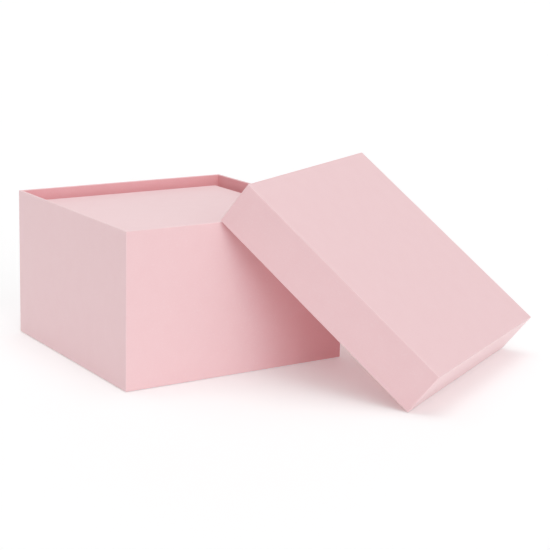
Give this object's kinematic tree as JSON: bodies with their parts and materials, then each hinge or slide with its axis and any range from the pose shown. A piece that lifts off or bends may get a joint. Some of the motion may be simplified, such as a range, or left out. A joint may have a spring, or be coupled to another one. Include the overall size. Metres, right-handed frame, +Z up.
{
  "type": "flower box",
  "caption": "Square rigid paper-covered box for flower arrangements, open, with its lift-off lid leaning on one corner and a smaller lidded box nested inside.",
  "frame": {"origin": "middle of the large box's base sheet, on the surface it stands on", "axes": "+Z up, +X to the right along the large box's front face, +Y from its front to its back; its lid leans on its front right corner"},
  "size_m": [0.3506, 0.3642, 0.1576],
  "materials": {
    "greyboard": "matte",
    "stay_paper": "matte",
    "wrap_paper": "matte",
    "lining_paper": "matte",
    "base_paper": "matte"
  },
  "bodies": {
    "outer_box": {"outer_box_board": "greyboard", "outer_box_corner_stay_1": "stay_paper", "outer_box_corner_stay_2": "stay_paper", "outer_box_corner_stay_3": "stay_paper", "outer_box_corner_stay_4": "stay_paper", "outer_box_wrap": "wrap_paper", "outer_box_lining": "lining_paper", "outer_box_base_sheet": "base_paper"},
    "outer_lid": {"outer_lid_board": "greyboard", "outer_lid_corner_stay_1": "stay_paper", "outer_lid_corner_stay_2": "stay_paper", "outer_lid_corner_stay_3": "stay_paper", "outer_lid_corner_stay_4": "stay_paper", "outer_lid_wrap": "wrap_paper", "outer_lid_lining": "lining_paper"},
    "inner_box": {"inner_box_board": "greyboard", "inner_box_corner_stay_1": "stay_paper", "inner_box_corner_stay_2": "stay_paper", "inner_box_corner_stay_3": "stay_paper", "inner_box_corner_stay_4": "stay_paper", "inner_box_wrap": "wrap_paper", "inner_box_lining": "lining_paper", "inner_box_base_sheet": "base_paper"},
    "inner_lid": {"inner_lid_board": "greyboard", "inner_lid_corner_stay_1": "stay_paper", "inner_lid_corner_stay_2": "stay_paper", "inner_lid_corner_stay_3": "stay_paper", "inner_lid_corner_stay_4": "stay_paper", "inner_lid_wrap": "wrap_paper", "inner_lid_lining": "lining_paper"}
  },
  "joints": [
    {"name": "outer_lid_lift", "type": "slide", "parent": "outer_box", "child": "outer_lid", "axis": [0.2971, -0.539, 0.7882], "range_m": [0, 0.25]},
    {"name": "inner_box_lift", "type": "slide", "parent": "outer_box", "child": "inner_box", "axis": [0, 0, 1], "range_m": [0, 0.125]},
    {"name": "inner_lid_lift", "type": "slide", "parent": "inner_box", "child": "inner_lid", "axis": [0, 0, 1], "range_m": [0, 0.0625]}
  ],
  "couplings": [
    {"joint": "inner_box_lift", "follows": "outer_lid_lift", "ratio": 0.5},
    {"joint": "inner_lid_lift", "follows": "outer_lid_lift", "ratio": 0.25}
  ]
}
